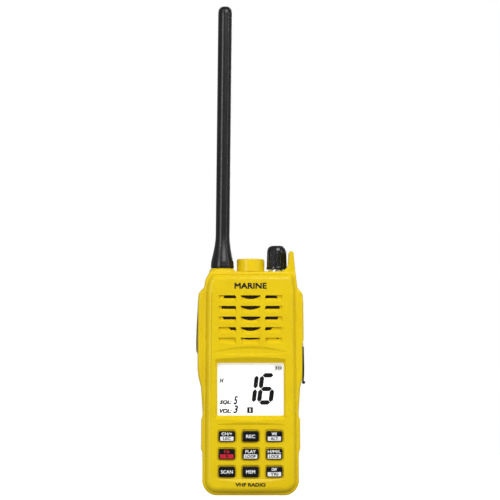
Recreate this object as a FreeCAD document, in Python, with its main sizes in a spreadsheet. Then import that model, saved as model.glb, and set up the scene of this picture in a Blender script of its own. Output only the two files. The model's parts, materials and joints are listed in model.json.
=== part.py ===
"""Handheld marine two-way radio, as an assembly of separate pieces.

The row frame: +X to the right seen from the front, -Y towards the user, +Z up along the antenna.
The origin is the middle of the flat base. Lengths are in millimetres.
"""

import FreeCAD, Part
import math
import os
import Sketcher

# ---------------------------------------------------------------- driving dimensions

SIZES = {
    # case seen from the front
    "base_half": 27.7,
    "neck_half": 27.0,
    "neck_z": 117.0,
    "shoulder_half": 25.6,
    "deck_z": 127.8,
    "base_corner": 8.5,
    "wing_half": 30.3,
    "guard_z": 139.3,
    # case seen from the side
    "face_y": -19.0,
    "parting_y": 5.0,
    "plate_y": 8.5,
    "block_y": 17.5,
    "back_y": 19.0,
    "face_radius": 320.0,
    "edge_round": 3.5,
    "frame_y": -15.2,
    "panel_inset": 1.7,
    # walls and the hollow inside
    "wall": 3.1,
    "face_wall": 3.5,
    # things on the deck share one line across the depth
    "deck_line_y": -4.0,
    "antenna_x": -16.2,
    "antenna_z": 129.6,
    "antenna_height": 151.0,
    "antenna_lean": 0.63,
    "whip_radius": 4.06,
    "whip_foot_radius": 6.68,
    "knob_x": 15.0,
    "knob_z": 129.1,
    "knob_height": 13.6,
    "knob_radius": 5.95,
    "knob_top_radius": 5.5,
    "shaft_radius": 3.0,
    "cap_radius": 7.95,
    "cap_z": 128.0,
    "cap_height": 7.1,
    # display
    "window_z": 60.4,
    "window_wide": 37.8,
    "window_tall": 29.9,
    "window_y": -16.9,
    "pan_y": -18.3,
    "brow_z": 83.9,
    "brow_radius": 117.0,
    # keypad
    "key_wide": 9.0,
    "key_tall": 5.8,
    "key_pitch_x": 13.5,
    "key_pitch_z": 10.07,
    "key_row_z": 23.5,
    "key_top_y": -19.5,
    "key_gap": 0.2,
    "key_travel": 0.4,
    # loudspeaker and its grille
    "speaker_z": 106.3,
    "speaker_radius": 18.0,
    "grille_radius": 16.6,
    "grille_half": 18.0,
    "slot_tall": 1.7,
    "slot_pitch": 6.05,
    "slot_first_z": 113.9,
    # boards
    "board_y": -8.6,
    "board_thick": 1.2,
    "board_half": 22.2,
    "board_top_z": 91.0,
    "rf_board_y": 1.0,
    # press-to-talk key, on the left
    "ptt_z": 96.4,
    "ptt_tall": 31.0,
    "ptt_deep": 10.0,
    "ptt_x": -31.15,
    # jack cover, on the right
    "cover_top_z": 84.6,
    "cover_low_z": 64.1,
    "cover_deep": 10.0,
    "cover_x": 30.75,
    "seat_x": 29.5,
    "jack_large_z": 70.5,
    "jack_small_z": 79.3,
    "jack_large_radius": 1.78,
    "jack_small_radius": 1.28,
    # battery pack and its screw
    "pack_y": 8.9,
    "pack_half": 25.0,
    "pack_low_z": 3.0,
    "pack_top_z": 88.0,
    "pack_wall": 1.6,
    "screw_z": 15.0,
    # belt clip
    "clip_pin_y": 23.6,
    "clip_pin_z": 76.0,
    "clip_half": 11.5,
    "clip_low_z": 30.0,
}

doc = FreeCAD.newDocument("Radio")


class Size:
    """A number together with the spreadsheet expression that it comes from."""

    def __init__(self, value, text):
        self.value = value
        self.text = text

    def _join(self, other, sign, swap=False):
        left, right = (as_size(other), self) if swap else (self, as_size(other))
        results = {
            "+": left.value + right.value,
            "-": left.value - right.value,
            "*": left.value * right.value,
            "/": left.value / right.value if right.value else 0.0,
        }
        return Size(results[sign], f"({left.text} {sign} {right.text})")

    def __add__(self, other):
        return self._join(other, "+")

    def __radd__(self, other):
        return self._join(other, "+", swap=True)

    def __sub__(self, other):
        return self._join(other, "-")

    def __rsub__(self, other):
        return self._join(other, "-", swap=True)

    def __mul__(self, other):
        return self._join(other, "*")

    def __rmul__(self, other):
        return self._join(other, "*", swap=True)

    def __truediv__(self, other):
        return self._join(other, "/")

    def __neg__(self):
        return Size(-self.value, f"(0 - {self.text})")


def as_size(value):
    return value if isinstance(value, Size) else Size(float(value), f"{float(value):.6f}")


class Sheet:
    """The spreadsheet of driving dimensions; each one is an attribute."""

    def __init__(self, values):
        cells = doc.addObject("Spreadsheet::Sheet", "Sizes")
        for row, (alias, value) in enumerate(values.items(), start=1):
            cells.set(f"A{row}", str(value))
            cells.setAlias(f"A{row}", alias)
            setattr(self, alias, Size(value, f"Sizes.{alias}"))


d = Sheet(SIZES)
doc.recompute()

# ---------------------------------------------------------------- drawing helpers

ROTATIONS = {
    "X": FreeCAD.Rotation(FreeCAD.Vector(0, 1, 0), 90),
    "Y": FreeCAD.Rotation(FreeCAD.Vector(1, 0, 0), -90),
    "Z": FreeCAD.Rotation(),
}
PLANE_AXIS = {"XZ": "Y", "XY": "Z", "YZ": "X"}
pieces = []


def bind(thing, **values):
    """Ties properties of a document object to the sheet."""
    for name, value in values.items():
        thing.setExpression(name, as_size(value).text)
    return thing


def place(thing, at, axis="Z"):
    """Turns a primitive's own Z to an axis and ties its place to the sheet."""
    thing.Placement = FreeCAD.Placement(FreeCAD.Vector(), ROTATIONS[axis])
    for letter, value in zip("xyz", at):
        thing.setExpression(f"Placement.Base.{letter}", as_size(value).text)
    return thing


def box(name, low, high):
    """A box between two corners."""
    solid = doc.addObject("Part::Box", name)
    spans = [high[i] - low[i] for i in range(3)]
    bind(solid, Length=as_size(spans[0]), Width=as_size(spans[1]), Height=as_size(spans[2]))
    return place(solid, low)


def cylinder(name, radius, length, at, axis="Z"):
    solid = doc.addObject("Part::Cylinder", name)
    bind(solid, Radius=radius, Height=length)
    return place(solid, at, axis)


def cone(name, radius1, radius2, length, at, axis="Z"):
    solid = doc.addObject("Part::Cone", name)
    bind(solid, Radius1=radius1, Radius2=radius2, Height=length)
    return place(solid, at, axis)


def torus(name, radius1, radius2, at, axis="Z"):
    solid = doc.addObject("Part::Torus", name)
    bind(solid, Radius1=radius1, Radius2=radius2)
    return place(solid, at, axis)


def fuse(name, *solids):
    joined = doc.addObject("Part::MultiFuse", name)
    joined.Shapes = list(solids)
    joined.Refine = True
    return joined


def common(name, first, second):
    shared = doc.addObject("Part::MultiCommon", name)
    shared.Shapes = [first, second]
    return shared


def cut(name, base, *tools):
    left = doc.addObject("Part::Cut", name)
    left.Base = base
    left.Tool = tools[0] if len(tools) == 1 else fuse(name + "_tools", *tools)
    left.Refine = True
    return left


def group(name, solids):
    """Several equal solids that share one node."""
    together = doc.addObject("Part::Compound", name)
    together.Links = list(solids)
    return together


def tube(name, outer, inner, length, at, axis="Z"):
    return cut(
        name,
        cylinder(name + "_outer", outer, length, at, axis),
        cylinder(name + "_inner", inner, length, at, axis),
    )


def piece(label, solid):
    """Keeps a finished sub-part: its Label is the name of its node."""
    solid.Label = label
    pieces.append(solid)
    return solid


def number(value):
    return as_size(value).value


def world(plane, u, v, w):
    """A point of a sketch plane, w along the plane's axis, in the row frame."""
    if plane == "XZ":
        return FreeCAD.Vector(u, w, v)
    if plane == "XY":
        return FreeCAD.Vector(u, v, w)
    return FreeCAD.Vector(w, u, v)


def attach(sketch, body, plane, start):
    """Lays a sketch on one of its body's origin planes, moved to start along the plane's axis."""
    base = next(f for f in body.Origin.OriginFeatures if f.Role == plane + "_Plane")
    sketch.AttachmentSupport = (base, [""])
    sketch.MapMode = "FlatFace"
    away = -as_size(start) if plane == "XZ" else as_size(start)
    sketch.setExpression("AttachmentOffset.Base.z", away.text)


def polygon(sketch, points):
    """A closed outline whose corners are tied to the sheet."""
    last = len(points)
    spots = [FreeCAD.Vector(number(u), number(v), 0) for u, v in points]
    for i in range(last):
        sketch.addGeometry(Part.LineSegment(spots[i], spots[(i + 1) % last]), False)
    for i in range(last):
        sketch.addConstraint(Sketcher.Constraint("Coincident", i, 2, (i + 1) % last, 1))
    for i, corner in enumerate(points):
        for kind, value in zip(("DistanceX", "DistanceY"), corner):
            index = sketch.addConstraint(
                Sketcher.Constraint(kind, -1, 1, i, 1, number(value))
            )
            sketch.setExpression(f"Constraints[{index}]", as_size(value).text)


def edge_names(shape, wanted):
    return [f"Edge{i}" for i, edge in enumerate(shape.Edges, start=1) if wanted(edge)]


def corner_edges(shape, plane, corners):
    """The edges that run along the plane's axis through these corners."""
    spots = [world(plane, number(u), number(v), 0) for u, v in corners]
    flat = {"XZ": (0, 2), "XY": (0, 1), "YZ": (1, 2)}[plane]

    def runs_through(edge):
        ends = [vertex.Point for vertex in edge.Vertexes]
        if len(ends) != 2 or edge.Curve.TypeId != "Part::GeomLine":
            return False
        return any(
            all(abs(end[k] - spot[k]) < 1e-4 for end in ends for k in flat) for spot in spots
        )

    return edge_names(shape, runs_through)


def level_edges(shape, plane, level):
    """The edges that lie in the plane at that level along its axis."""
    k = {"XZ": 1, "XY": 2, "YZ": 0}[plane]

    def lies_there(edge):
        low, high = edge.BoundBox.XMin, edge.BoundBox.XMax
        if k == 1:
            low, high = edge.BoundBox.YMin, edge.BoundBox.YMax
        if k == 2:
            low, high = edge.BoundBox.ZMin, edge.BoundBox.ZMax
        return abs(low - number(level)) < 1e-4 and abs(high - number(level)) < 1e-4

    return edge_names(shape, lies_there)


def dress(body, kind, names, size):
    """Rounds or chamfers the named edges of a body's last feature."""
    before = body.Tip
    feature = body.newObject(f"PartDesign::{kind}", f"{body.Name}_{kind}")
    feature.Base = (before, names)
    feature.setExpression("Radius" if kind == "Fillet" else "Size", as_size(size).text)
    doc.recompute()
    return feature


def prism(name, plane, points, start, end, corners=None, near=None, far=None, kind="Fillet"):
    """A padded outline. corners gives a radius for some of its corners, by index; near and
    far round (or chamfer) the rim at the start and at the end of the pad."""
    body = doc.addObject("PartDesign::Body", name)
    sketch = body.newObject("Sketcher::SketchObject", name + "_outline")
    attach(sketch, body, plane, start)
    polygon(sketch, points)
    pad = body.newObject("PartDesign::Pad", name + "_pad")
    pad.Profile = sketch
    pad.setExpression("Length", (as_size(end) - start).text)
    pad.Reversed = plane == "XZ"
    doc.recompute()
    radii = {}
    for index, radius in (corners or {}).items():
        radii.setdefault(number(radius), (radius, []))[1].append(points[index])
    for radius, spots in radii.values():
        dress(body, "Fillet", corner_edges(body.Tip.Shape, plane, spots), radius)
    if near is not None:
        dress(body, kind, level_edges(body.Tip.Shape, plane, start), near)
    if far is not None:
        dress(body, kind, level_edges(body.Tip.Shape, plane, end), far)
    return body


def rectangle(u, v, wide, tall):
    """Corners of a rectangle about a centre."""
    return [
        (u - wide / 2, v - tall / 2),
        (u + wide / 2, v - tall / 2),
        (u + wide / 2, v + tall / 2),
        (u - wide / 2, v + tall / 2),
    ]


def block(name, plane, centre, span, start, end, corner=None, **dressing):
    """A padded rectangle with equal corners."""
    rounds = None if corner is None else {i: corner for i in range(4)}
    points = rectangle(as_size(centre[0]), as_size(centre[1]), as_size(span[0]), as_size(span[1]))
    return prism(name, plane, points, start, end, rounds, **dressing)


def turned(name, profile, at, axis="Z", flutes=None):
    """A profile of (radius, height) corners turned about an axis through a point.
    flutes is (how many, their radius, their distance from the axis, from, to)."""
    body = doc.addObject("PartDesign::Body", name)
    sketch = body.newObject("Sketcher::SketchObject", name + "_profile")
    attach(sketch, body, "XZ", 0)
    polygon(sketch, profile)
    turn = body.newObject("PartDesign::Revolution", name + "_turn")
    turn.Profile = sketch
    turn.ReferenceAxis = (sketch, ["V_Axis"])
    turn.Angle = 360
    doc.recompute()
    if flutes:
        count, radius, distance, low, high = flutes
        mark = body.newObject("Sketcher::SketchObject", name + "_flute")
        attach(mark, body, "XY", low)
        mark.addGeometry(
            Part.Circle(
                FreeCAD.Vector(number(distance), 0, 0), FreeCAD.Vector(0, 0, 1), number(radius)
            )
        )
        for constraint, value in (
            (Sketcher.Constraint("Radius", 0, number(radius)), radius),
            (Sketcher.Constraint("DistanceX", -1, 1, 0, 3, number(distance)), distance),
        ):
            index = mark.addConstraint(constraint)
            mark.setExpression(f"Constraints[{index}]", as_size(value).text)
        mark.addConstraint(Sketcher.Constraint("PointOnObject", 0, 3, -1))
        groove = body.newObject("PartDesign::Pocket", name + "_groove")
        groove.Profile = mark
        groove.Reversed = True
        groove.setExpression("Length", (as_size(high) - low).text)
        doc.recompute()
        around = body.newObject("PartDesign::PolarPattern", name + "_around")
        around.Originals = [groove]
        around.Axis = (mark, ["N_Axis"])
        around.Angle = 360
        around.Occurrences = count
        body.Tip = around
        doc.recompute()
    return place(body, at, axis)


def coil(name, radius, wire, pitch, height, at, axis="Z"):
    """A wire wound about an axis."""
    path = doc.addObject("Part::Helix", name + "_path")
    bind(path, Pitch=pitch, Height=height, Radius=radius)
    section = doc.addObject("Part::Circle", name + "_section")
    bind(section, Radius=wire)
    section.Placement.Rotation = FreeCAD.Rotation(FreeCAD.Vector(1, 0, 0), 90)
    bind(section, **{"Placement.Base.x": radius})
    winding = doc.addObject("Part::Sweep", name)
    winding.Sections = [section]
    winding.Spine = (path, [])
    winding.Solid = True
    winding.Frenet = True
    return place(winding, at, axis)


def both_sides(make):
    """Makes a thing for the right side (1) and for the left side (-1)."""
    return [make(side, word) for side, word in ((1, "right"), (-1, "left"))]


# ---------------------------------------------------------------- the case


def case_outline(inset):
    """The case seen from the front, taken in by inset: base, sides and sloping shoulders."""
    inset = as_size(inset)
    base = d.base_half - inset
    neck = d.neck_half - inset
    shoulder = d.shoulder_half - inset
    top = d.deck_z - inset
    return [
        (-base, inset),
        (base, inset),
        (neck, d.neck_z),
        (shoulder, top),
        (-shoulder + 2.3, top),
        (-shoulder - 0.3, d.neck_z + 5.9 - inset / 2),
        (-neck, d.neck_z - 1.0),
    ]


def wing_outline(side):
    """The raised grip on one side: full width above, tapering into the waist."""
    half = d.wing_half
    return [
        (side * 22.0, d.neck_z + 1.6),
        (side * 27.0, d.neck_z + 1.3),
        (side * (half - 0.7), d.neck_z - 1.7),
        (side * (half - 0.2), d.neck_z - 6.0),
        (side * half, d.neck_z - 27.0),
        (side * half, d.neck_z - 45.0),
        (side * (half - 0.6), d.neck_z - 50.0),
        (side * (half - 2.0), d.neck_z - 55.5),
        (side * 27.35, d.neck_z - 71.0),
        (side * 22.0, d.neck_z - 72.0),
    ]


def pad_outline(side):
    """The low grip pad beside the keypad."""
    return [
        (side * 22.0, 45.9),
        (side * 27.3, 45.6),
        (side * 28.2, 43.4),
        (side * 28.3, 26.6),
        (side * 27.5, 24.3),
        (side * 22.0, 24.0),
    ]


def case_envelope():
    """The outer form of both case halves in one solid, before it is parted and hollowed."""
    core = prism(
        "core",
        "XZ",
        case_outline(0),
        d.frame_y,
        d.plate_y,
        {0: d.base_corner, 1: d.base_corner, 2: 12.0, 3: 2.0, 4: 2.0, 5: 9.0},
        near=1.4,
        far=1.5,
    )
    inner_corner = d.base_corner - d.panel_inset
    panel = prism(
        "panel",
        "XZ",
        case_outline(d.panel_inset),
        d.face_y,
        d.frame_y + 6,
        {0: inner_corner, 1: inner_corner, 2: 12.0, 3: 3.0, 4: 3.0, 5: 9.0},
    )
    crown = cylinder("face_crown", d.face_radius, 200, (0, d.face_y + d.face_radius, -30))
    front = common("crowned_panel", panel, crown)
    doc.recompute()
    rounded = doc.addObject("Part::Fillet", "soft_panel")
    rounded.Base = front
    rim = [
        i
        for i, edge in enumerate(front.Shape.Edges, start=1)
        if edge.BoundBox.YMax < SIZES["face_y"] + 1.6
    ]
    rounded.Edges = [(i, SIZES["edge_round"], SIZES["edge_round"]) for i in rim]
    wings = both_sides(
        lambda side, word: prism(
            "wing_" + word,
            "XZ",
            wing_outline(side)[:: side],
            d.frame_y + 0.3,
            d.plate_y - 0.2,
            {2: 2.0, 7: 6.0, 6: 9.0} if side == 1 else {7: 2.0, 2: 6.0, 3: 9.0},
            near=1.6,
            far=1.2,
        )
    )
    pads = both_sides(
        lambda side, word: prism(
            "pad_" + word,
            "XZ",
            pad_outline(side)[:: side],
            d.frame_y + 0.4,
            d.plate_y,
            {2: 1.5, 3: 1.5},
            near=1.0,
            far=0.8,
        )
    )
    notch = prism(
        "cover_notch",
        "XZ",
        [
            (d.seat_x, d.cover_low_z - 3.0),
            (d.seat_x + 4, d.cover_low_z - 6.0),
            (d.seat_x + 4, d.cover_top_z + 5.0),
            (d.seat_x + 0.8, d.cover_top_z + 4.2),
            (d.seat_x, d.cover_top_z + 0.7),
        ],
        d.frame_y - 2,
        d.plate_y + 2,
    )
    wings[0] = cut("notched_wing", wings[0], notch)
    block_body = prism(
        "top_block",
        "XZ",
        [
            (d.neck_half - 0.2, d.pack_top_z + 0.6),
            (d.neck_half - 0.2, d.neck_z),
            (d.shoulder_half - 0.6, d.deck_z - 0.6),
            (2.9 - d.shoulder_half, d.deck_z - 0.6),
            (0.3 - d.shoulder_half, d.neck_z + 5.0),
            (0.2 - d.neck_half, d.neck_z - 1.5),
            (0.2 - d.neck_half, d.pack_top_z + 0.6),
        ],
        d.parting_y,
        d.block_y,
        {1: 12.0, 2: 3.0, 3: 3.0, 4: 9.0},
        far=3.0,
    )
    slab = fuse("case_slab", core, rounded)
    gripped = fuse("gripped_slab", slab, *wings, *pads)
    body = fuse("case_body", gripped, block_body)
    return fuse("case_form", body, *deck_furniture())


def deck_furniture():
    """What stands up from the deck: the antenna's seat, and the fin that guards the knob."""
    seat = turned(
        "antenna_seat",
        [
            (as_size(0), d.deck_z - 3.0),
            (d.whip_foot_radius + 1.1, d.deck_z - 3.0),
            (d.whip_foot_radius + 0.9, d.deck_z + 0.1),
            (d.whip_foot_radius + 0.4, d.antenna_z - 0.6),
            (d.whip_foot_radius - 0.1, d.antenna_z),
            (as_size(0), d.antenna_z),
        ],
        (d.antenna_x, d.deck_line_y, 0),
    )
    swell = prism(
        "antenna_swell",
        "XZ",
        [
            (d.antenna_x - 7.6, d.deck_z - 4.0),
            (d.antenna_x + 9.4, d.deck_z - 4.0),
            (d.antenna_x + 9.4, d.deck_z - 0.3),
            (d.antenna_x + 4.6, d.antenna_z - 0.5),
            (as_size(d.antenna_x), d.antenna_z),
            (d.antenna_x - 4.6, d.antenna_z - 0.3),
            (d.antenna_x - 7.6, d.deck_z - 0.6),
        ],
        d.frame_y + 0.4,
        d.parting_y + 1,
        {2: 4.0, 3: 12.0, 4: 14.0, 5: 6.0, 6: 2.0},
        near=2.2,
        far=1.0,
    )
    fin = prism(
        "knob_guard",
        "XZ",
        [
            (d.knob_x + 1.0, d.deck_z - 3.0),
            (d.neck_half - 0.6, d.neck_z),
            (d.shoulder_half + 0.3, d.deck_z - 2.5),
            (d.shoulder_half - 1.1, d.guard_z),
            (d.shoulder_half - 3.7, d.guard_z),
            (d.shoulder_half - 4.6, d.deck_z - 0.2),
            (d.knob_x + 1.0, d.deck_z - 0.2),
        ],
        d.frame_y + 0.6,
        d.deck_line_y + 8.0,
        {3: 1.25, 4: 1.25, 5: 5.0},
        near=1.0,
        far=1.0,
    )
    return [seat, swell, fin]


def grille_lane(side):
    """How far a column of slots reaches at the top and at the foot of a slot, left to right."""
    if side == 0:
        return (-5.8, 5.8), (-4.2, 4.2)
    top = (8.7, SIZES["grille_half"])
    foot = (7.9, SIZES["grille_half"])
    if side > 0:
        return top, foot
    return (-top[1], -top[0]), (-foot[1], -foot[0])


def smile(name, top, drop):
    """A wide cylinder whose lowest line gives a slot its curved lower edge."""
    radius = (5.8 * 5.8 + drop * drop) / (2 * drop) * 1.15
    return cylinder(name, radius, 8, (0, d.face_y - 3, top - drop + radius), "Y")


def grille_cuts():
    """Five rows of louvres, each with a slot that opens where the loudspeaker is behind it."""
    cuts = []
    slots = []
    for row in range(5):
        top = d.slot_first_z - d.slot_pitch * row
        foot = top - d.slot_tall
        for side, word in ((-1, "left"), (0, "middle"), (1, "right")):
            upper, lower = grille_lane(side)
            mouth = prism(
                f"louvre_{word}_{row}",
                "YZ",
                [
                    (d.face_y - 1.5, top),
                    (d.face_y + 1.5, top),
                    (d.face_y + 1.5, foot),
                    (d.face_y - 0.1, foot - 2.2),
                    (d.face_y - 1.5, foot - 2.2),
                ],
                -d.grille_half,
                d.grille_half,
            )
            trim = prism(
                f"louvre_trim_{word}_{row}",
                "XZ",
                [
                    (as_size(upper[0]), top + 0.1),
                    (as_size(lower[0]), foot - 2.3),
                    (as_size(lower[1]), foot - 2.3),
                    (as_size(upper[1]), top + 0.1),
                ],
                d.face_y - 2.0,
                d.face_y + 2.0,
                {1: 0.9, 2: 0.9},
            )
            cuts.append(common(f"louvre_cut_{word}_{row}", mouth, trim))
            if row == 4 and side != 0:
                continue
            drop = 0.5 if side == 0 else 0.0
            slot = prism(
                f"slot_{word}_{row}",
                "XZ",
                [
                    (as_size(lower[0]), foot - drop),
                    (as_size(lower[1]), foot - drop),
                    (as_size(upper[1]), top),
                    (as_size(upper[0]), top),
                ],
                d.face_y - 1.0,
                d.face_y + 3.0,
                None if side == 0 else {i: 0.35 for i in range(4)},
            )
            if side == 0:
                depth = 1.1 if row == 4 else SIZES["slot_tall"] + drop
                slot = common(f"smiling_slot_{row}", slot, smile(f"smile_{row}", top, depth))
                cuts.append(slot)
            else:
                slots.append(slot)
    mask = cylinder("grille_mask", d.grille_radius, 12, (0, d.face_y - 4, d.speaker_z), "Y")
    return [*cuts, common("side_slots", fuse("slot_bars", *slots), mask)]


def frustum(name, near, far):
    """A solid between two rectangles; near and far are (depth, half width, low z, high z)."""
    ends = []
    for word, (depth, half, low, high) in (("near", near), ("far", far)):
        sketch = doc.addObject("Sketcher::SketchObject", f"{name}_{word}")
        polygon(sketch, [(-half, low), (half, low), (half, high), (-half, high)])
        sketch.Placement = FreeCAD.Placement(
            FreeCAD.Vector(), FreeCAD.Rotation(FreeCAD.Vector(1, 0, 0), 90)
        )
        sketch.setExpression("Placement.Base.y", as_size(depth).text)
        ends.append(sketch)
    doc.recompute()
    solid = doc.addObject("Part::Loft", name)
    solid.Sections = ends
    solid.Solid = True
    solid.Ruled = True
    return solid


def display_cut():
    """The valley under the arched brow, and the bevel from the bezel's ridge to the window."""
    low = d.window_z - d.window_tall / 2
    high = d.window_z + d.window_tall / 2
    half = d.window_wide / 2
    step = d.pan_y - d.face_y
    brow = cone(
        "brow_cone",
        d.brow_radius + step * 2.2,
        d.brow_radius - step * 0.6,
        step * 1.4,
        (0, d.face_y - step * 0.4, d.brow_z - d.brow_radius),
        "Y",
    )
    area = block("brow_area", "XZ", (0, high), (56, 30), d.face_y - 2, d.pan_y)
    ridge = frustum(
        "bezel_ridge",
        (d.face_y - 0.5, half + 1.6, low - 20, high + 3.4),
        (d.pan_y + 0.1, half + 3.4, low - 20, high + 5.6),
    )
    bevel = frustum(
        "bezel_bevel",
        (d.face_y - 0.1, half + 1.7, low - 3.0, high + 3.4),
        (d.window_y - 0.15, half + 0.2, low - 0.2, high + 0.2),
    )
    opening = block(
        "window_opening",
        "XZ",
        (0, d.window_z),
        (d.window_wide, d.window_tall),
        d.face_y - 1,
        d.face_y + 6,
        0.8,
    )
    return [cut("brow_valley", common("brow_pan", area, brow), ridge), bevel, opening]


def keypad_pan():
    """The shallow pan that the keys stand in."""
    low, high = d.key_row_z - 16.0, d.key_row_z + 18.1
    return frustum(
        "keypad_pan",
        (d.face_y - 0.05, as_size(20.9), low, high),
        (d.pan_y, as_size(19.2), low + 1.9, high - 1.5),
    )


def key_places():
    """(row, column, x, z) of each key; row 0 is the lowest."""
    for row in range(3):
        for column in range(3):
            x = d.key_pitch_x * (column - 1)
            z = d.key_row_z + d.key_pitch_z * (row - 1)
            yield row, column, x, z


def key_cuts():
    """A bevelled well with a through hole for each key."""
    cuts = []
    for row, column, x, z in key_places():
        well = block(
            f"key_well_{row}{column}",
            "XZ",
            (x, z),
            (d.key_wide + 1.8, d.key_tall + 2.1),
            d.face_y - 1.5,
            d.pan_y + 0.75,
            1.7,
            far=0.2,
            kind="Chamfer",
        )
        hole = block(
            f"key_hole_{row}{column}",
            "XZ",
            (x, z),
            (d.key_wide + d.key_gap * 2, d.key_tall + d.key_gap * 2),
            d.face_y,
            d.face_y + 5,
            1.1,
        )
        cuts += [well, hole]
    return cuts


def hollow(name, start, end):
    """The space inside the case, between two depths."""
    return prism(
        name, "XZ", case_outline(d.wall), start, end, {0: 5.4, 1: 5.4, 2: 9.0, 5: 6.0}
    )


def seal_band(name, outer, inner, start, end):
    """A band that runs around the case, inside its walls, between two insets."""
    rings = [
        prism(
            f"{name}_{word}",
            "XZ",
            case_outline(inset),
            start,
            end,
            {0: d.base_corner - inset, 1: d.base_corner - inset},
        )
        for word, inset in (("outside", outer), ("inside", inner))
    ]
    return cut(name, *rings)


SCREW_X = 21.6
SCREW_ZS = (7.6, 109.0)
SPEAKER_Y = d.face_y + 2.4
PTT_Y = -2.5
COVER_Y = -1.5
JACK_NOSE = 3.2
JACK_FACE = d.seat_x - 1.1
PLUG_RADIUS = 2.0


def screw_places():
    for z in SCREW_ZS:
        for x in (-SCREW_X, SCREW_X):
            yield x, z


def front_case(envelope):
    rear_side = box("behind_parting", (-50, d.parting_y, -5), (50, 60, 160))
    outer = cut("front_outer", envelope, rear_side)
    wing_spaces = both_sides(
        lambda side, word: box(
            "wing_space_" + word,
            (23.5 if side > 0 else -28.6, d.frame_y + 3.2, 63.0),
            (27.6 if side > 0 else -23.5, d.parting_y, 113.5),
        )
    )
    bosses = [
        cylinder(
            f"boss_{i}", 2.9, d.parting_y - d.face_y - 3.0, (x, d.face_y + 3.0, z), "Y"
        )
        for i, (x, z) in enumerate(screw_places())
    ]
    space = cut(
        "front_space",
        fuse(
            "front_hollows",
            hollow("front_hollow", d.face_y + d.face_wall, d.parting_y),
            *wing_spaces,
        ),
        *bosses,
    )
    pilots = [
        cylinder(f"pilot_{i}", 1.05, 12, (x, d.parting_y - 10, z), "Y")
        for i, (x, z) in enumerate(screw_places())
    ]
    deck_low = d.deck_z - d.wall - 3
    line = d.deck_line_y
    holes = [
        cylinder("antenna_hole", 4.5, 12, (d.antenna_x, line, deck_low)),
        cylinder("antenna_flange_hole", 5.6, 12, (d.antenna_x, line, d.antenna_z - 1.0)),
        cylinder("antenna_nut_space", 5.6, 4, (d.antenna_x, line, d.deck_z - d.wall - 4)),
        cylinder("knob_hole", 3.6, 12, (d.knob_x, line, deck_low)),
        cylinder("cap_hole", 5.0, 12, (0, line, deck_low)),
        cylinder("mic_hole", 0.5, 12, (15.2, d.face_y - 5, 89.3), "Y"),
        cylinder("speaker_recess", d.speaker_radius + 0.3, 4, (0, SPEAKER_Y, d.speaker_z), "Y"),
        cylinder("knob_recess", d.knob_radius + 0.4, 20, (d.knob_x, line, d.deck_z)),
        block(
            "ptt_hole",
            "YZ",
            (PTT_Y, d.ptt_z),
            (d.ptt_deep + 0.4, d.ptt_tall + 0.4),
            d.ptt_x - 2,
            -27,
            3.2,
        ),
        box(
            "anchor_seat",
            (d.seat_x, COVER_Y - d.cover_deep / 2 - 0.2, d.cover_top_z - 2),
            (d.seat_x + 4, COVER_Y + d.cover_deep / 2 + 0.2, d.cover_top_z + 2.6),
        ),
        cylinder("jack_large_hole", JACK_NOSE + 0.05, 8, (25, COVER_Y, d.jack_large_z), "X"),
        cylinder("jack_small_hole", JACK_NOSE + 0.05, 8, (25, COVER_Y, d.jack_small_z), "X"),
    ]
    groove = seal_band("gasket_groove", 0.9, 2.1, d.parting_y - 0.9, d.parting_y + 1)
    solid = cut(
        "front_case_solid",
        outer,
        space,
        groove,
        *pilots,
        *holes,
        *grille_cuts(),
        *display_cut(),
        keypad_pan(),
        *key_cuts(),
    )
    return piece("front_case", solid)


def rear_case(envelope):
    front_side = box("before_parting", (-50, -60, -5), (50, d.parting_y, 160))
    outer = cut("rear_outer", envelope, front_side)
    block_space = prism(
        "block_space",
        "XZ",
        [
            (d.neck_half - 3.0, d.pack_top_z + 3.0),
            (d.neck_half - 3.0, d.neck_z - 1.0),
            (d.shoulder_half - 4.0, d.deck_z - 4.0),
            (6.0 - d.shoulder_half, d.deck_z - 4.0),
            (3.0 - d.neck_half, d.neck_z + 1.0),
            (3.0 - d.neck_half, d.pack_top_z + 3.0),
        ],
        d.parting_y,
        d.block_y - 2.4,
        {1: 9.0, 4: 6.0},
    )
    posts = [
        cylinder(f"post_{i}", 3.6, 20, (x, d.parting_y, z), "Y")
        for i, (x, z) in enumerate(screw_places())
    ]
    posts.append(cylinder("post_insert", 4.6, 20, (0, d.parting_y, d.screw_z), "Y"))
    space = cut(
        "rear_space",
        fuse("rear_hollows", hollow("rear_hollow", d.parting_y, d.plate_y - 2.0), block_space),
        *posts,
    )
    holes = [box("contact_slot", (-12.2, d.plate_y - 1.6, 78.3), (12.2, d.plate_y + 1, 83.7))]
    for i, (x, z) in enumerate(screw_places()):
        holes.append(cylinder(f"shank_hole_{i}", 1.2, 4, (x, d.parting_y - 1, z), "Y"))
        holes.append(cylinder(f"head_hole_{i}", 2.5, 20, (x, d.plate_y - 2.1, z), "Y"))
    holes.append(cylinder("insert_hole", 3.0, 6, (0, d.parting_y - 1, d.screw_z), "Y"))
    return piece("rear_case", cut("rear_case_solid", outer, space, *holes))


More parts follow.
